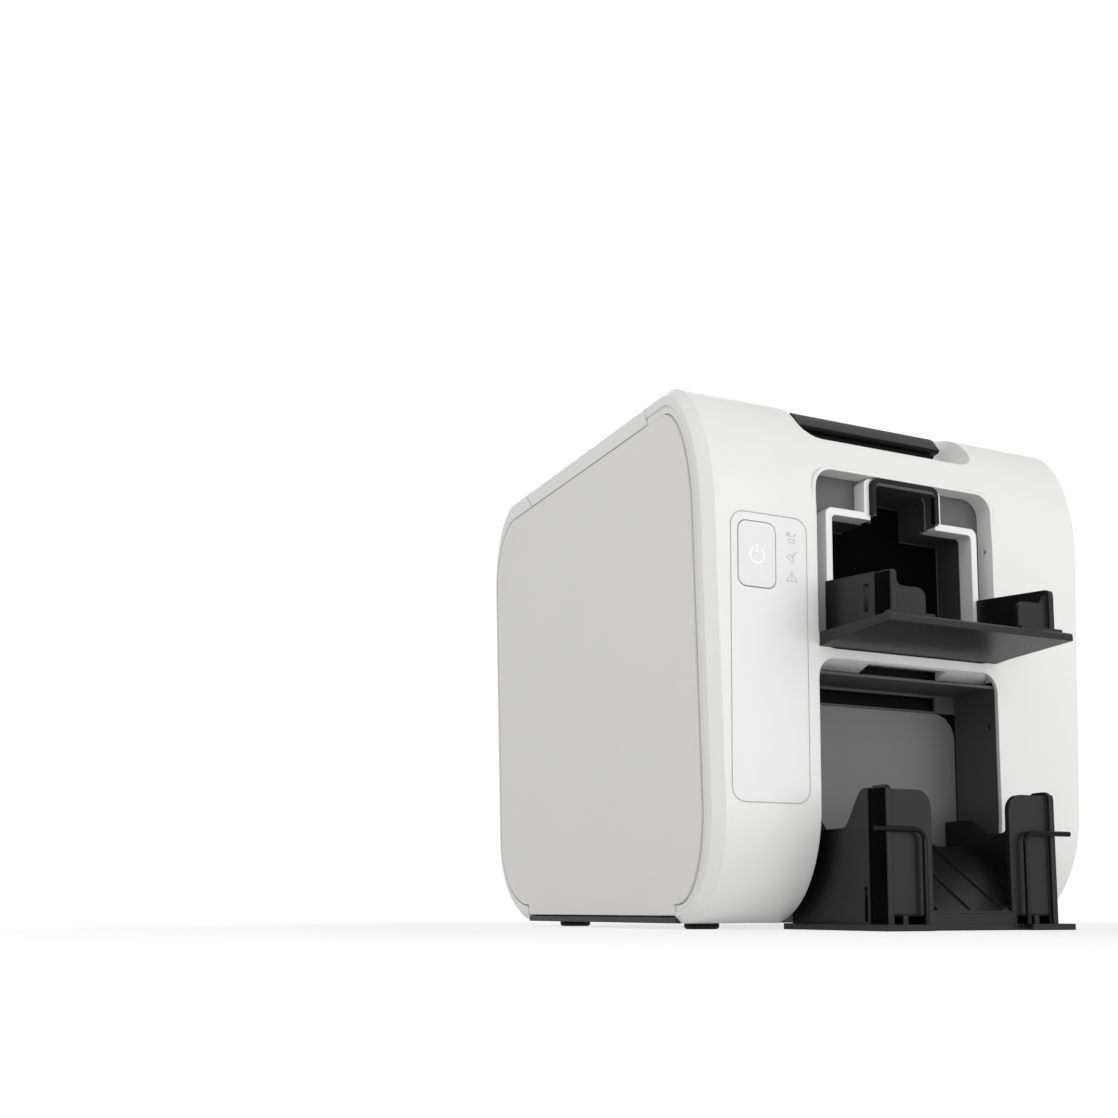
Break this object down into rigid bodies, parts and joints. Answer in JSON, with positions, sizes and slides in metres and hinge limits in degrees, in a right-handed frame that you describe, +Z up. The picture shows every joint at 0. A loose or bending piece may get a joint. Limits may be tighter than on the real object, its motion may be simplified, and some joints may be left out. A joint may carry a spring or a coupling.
{
  "type": "id card printer",
  "caption": "Desktop plastic-card printer with a hinged lid, latch bar, card hopper, pull-out stacker, geared card rollers and ribbon spools.",
  "frame": {"origin": "centre of the bounding box on the desk, trays included", "axes": "+X to the machine's left seen from behind and the viewer's right seen from the front, the front faces -Y, +Z up"},
  "size_m": [0.2476, 0.346, 0.277],
  "materials": {
    "white_casing": "satin",
    "grey_panel": "satin",
    "strip_film": "satin",
    "button_white": "satin",
    "light_guide": "gloss",
    "black_plastic": "satin",
    "tray_black": "satin",
    "recess_grey": "matte",
    "wall_grey": "satin",
    "base_plastic": "matte",
    "foot_rubber": "matte",
    "roller_rubber": "matte",
    "cleaning_sleeve": "matte",
    "frame_steel": "satin",
    "pin_steel": "gloss",
    "wire_black": "gloss",
    "bush_bronze": "satin",
    "gear_white": "satin",
    "pinion_brass": "satin",
    "motor_black": "satin",
    "motor_can": "satin",
    "head_metal": "satin",
    "cartridge_blue": "satin",
    "supply_ribbon": "gloss",
    "takeup_ribbon": "gloss",
    "ribbon_film": "gloss",
    "board_green": "satin",
    "socket_steel": "satin"
  },
  "bodies": {
    "printer": {"front_shell": "white_casing", "left_side_panel": "grey_panel", "right_side_panel": "grey_panel", "rear_cover": "white_casing", "base_plate": "base_plastic", "feet": "foot_rubber", "hinge_pins": "pin_steel", "latch_keeper": "pin_steel", "control_strip": "strip_film", "light_guides": "light_guide", "panel_board": "board_green", "hopper_bezel": "recess_grey", "hopper_rim": "white_casing", "hopper_tunnel": "black_plastic", "hopper_tray": "tray_black", "stacker_liner": "recess_grey", "stacker_wall": "wall_grey", "left_frame": "frame_steel", "right_frame": "frame_steel", "card_deck": "base_plastic", "exit_chute": "black_plastic", "shaft_bushes": "bush_bronze", "gear_studs": "pin_steel", "drive_motor": "motor_black", "ribbon_cartridge": "cartridge_blue", "ribbon_film": "ribbon_film", "ribbon_motor": "motor_can", "motor_bracket": "frame_steel", "board_bracket": "frame_steel", "main_board": "board_green", "power_inlet": "black_plastic", "usb_socket": "socket_steel", "frame_screws": "pin_steel"},
    "lid": {"top_lid": "white_casing", "latch_pin": "pin_steel", "head_carrier": "frame_steel", "print_head": "head_metal", "head_springs": "pin_steel"},
    "latch": {"latch_bar": "black_plastic"},
    "button": {"power_button": "button_white"},
    "stacker": {"stacker_tray": "tray_black", "left_stop_wire": "wire_black", "right_stop_wire": "wire_black"},
    "pick": {"pick_roller": "roller_rubber"},
    "feed": {"feed_roller": "roller_rubber"},
    "transport": {"transport_roller": "roller_rubber"},
    "platen": {"platen_roller": "roller_rubber"},
    "pick_idler_gear": {"pick_idler": "gear_white"},
    "feed_idler_gear": {"feed_idler": "gear_white"},
    "transport_idler_gear": {"transport_idler": "gear_white"},
    "drive_gear_wheel": {"drive_gear": "gear_white"},
    "motor_pinion": {"drive_pinion": "pinion_brass"},
    "cleaner": {"cleaning_roller": "cleaning_sleeve"},
    "pinch": {"pinch_roller": "pin_steel"},
    "supply": {"supply_spool": "supply_ribbon"},
    "takeup": {"takeup_spool": "takeup_ribbon", "takeup_gear": "gear_white"},
    "ribbon_gear": {"ribbon_pinion": "pinion_brass"}
  },
  "joints": [
    {"name": "lid_hinge", "type": "hinge", "parent": "printer", "child": "lid", "pos_m": [0, 0.127, 0.26112], "axis": [-1, 0, 0], "range_deg": [0, 70]},
    {"name": "latch_pivot", "type": "hinge", "parent": "lid", "child": "latch", "pos_m": [0, -0.066, 0.2708], "axis": [-1, 0, 0], "range_deg": [0, 12], "stiffness_Nm_per_rad": 0.06, "springref_deg": -6.88},
    {"name": "button_press", "type": "slide", "parent": "printer", "child": "button", "axis": [0, 1, 0], "range_m": [0, 0.0012], "stiffness_N_per_m": 1200, "springref_m": -0.0004},
    {"name": "stacker_pull", "type": "slide", "parent": "printer", "child": "stacker", "axis": [0, -1, 0], "range_m": [0, 0.06]},
    {"name": "platen_spin", "type": "hinge", "parent": "printer", "child": "platen", "pos_m": [0, 0.021, 0.1394], "axis": [1, 0, 0], "continuous": true},
    {"name": "transport_spin", "type": "hinge", "parent": "printer", "child": "transport", "pos_m": [0, -0.017, 0.1394], "axis": [1, 0, 0], "continuous": true},
    {"name": "feed_spin", "type": "hinge", "parent": "printer", "child": "feed", "pos_m": [0, -0.055, 0.1394], "axis": [1, 0, 0], "continuous": true},
    {"name": "pick_spin", "type": "hinge", "parent": "printer", "child": "pick", "pos_m": [0, -0.09, 0.1394], "axis": [1, 0, 0], "continuous": true},
    {"name": "transport_idler_spin", "type": "hinge", "parent": "printer", "child": "transport_idler_gear", "pos_m": [0, 0.002, 0.1394], "axis": [1, 0, 0], "continuous": true},
    {"name": "feed_idler_spin", "type": "hinge", "parent": "printer", "child": "feed_idler_gear", "pos_m": [0, -0.036, 0.1394], "axis": [1, 0, 0], "continuous": true},
    {"name": "pick_idler_spin", "type": "hinge", "parent": "printer", "child": "pick_idler_gear", "pos_m": [0, -0.074, 0.1394], "axis": [1, 0, 0], "continuous": true},
    {"name": "drive_gear_spin", "type": "hinge", "parent": "printer", "child": "drive_gear_wheel", "pos_m": [0, 0.021, 0.1124], "axis": [1, 0, 0], "continuous": true},
    {"name": "motor_pinion_spin", "type": "hinge", "parent": "printer", "child": "motor_pinion", "pos_m": [0, 0.021, 0.0904], "axis": [1, 0, 0], "continuous": true},
    {"name": "cleaner_spin", "type": "hinge", "parent": "printer", "child": "cleaner", "pos_m": [0, -0.055, 0.1532], "axis": [1, 0, 0], "continuous": true},
    {"name": "pinch_spin", "type": "hinge", "parent": "printer", "child": "pinch", "pos_m": [0, -0.017, 0.1532], "axis": [1, 0, 0], "continuous": true},
    {"name": "supply_spin", "type": "hinge", "parent": "printer", "child": "supply", "pos_m": [0, 0.075, 0.186], "axis": [1, 0, 0], "continuous": true},
    {"name": "takeup_spin", "type": "hinge", "parent": "printer", "child": "takeup", "pos_m": [0, -0.039, 0.178], "axis": [1, 0, 0], "continuous": true},
    {"name": "ribbon_gear_spin", "type": "hinge", "parent": "printer", "child": "ribbon_gear", "pos_m": [0, -0.05805, 0.189], "axis": [1, 0, 0], "continuous": true}
  ],
  "couplings": [
    {"joint": "transport_spin", "follows": "platen_spin", "ratio": 1},
    {"joint": "feed_spin", "follows": "platen_spin", "ratio": 1},
    {"joint": "pick_spin", "follows": "platen_spin", "ratio": 1.3333},
    {"joint": "transport_idler_spin", "follows": "platen_spin", "ratio": -1.7143},
    {"joint": "feed_idler_spin", "follows": "platen_spin", "ratio": -1.7143},
    {"joint": "pick_idler_spin", "follows": "platen_spin", "ratio": -1.7143},
    {"joint": "drive_gear_spin", "follows": "platen_spin", "ratio": -0.8},
    {"joint": "motor_pinion_spin", "follows": "platen_spin", "ratio": 1.7143},
    {"joint": "takeup_spin", "follows": "supply_spin", "ratio": 1.3008},
    {"joint": "ribbon_gear_spin", "follows": "supply_spin", "ratio": -2.7873}
  ]
}
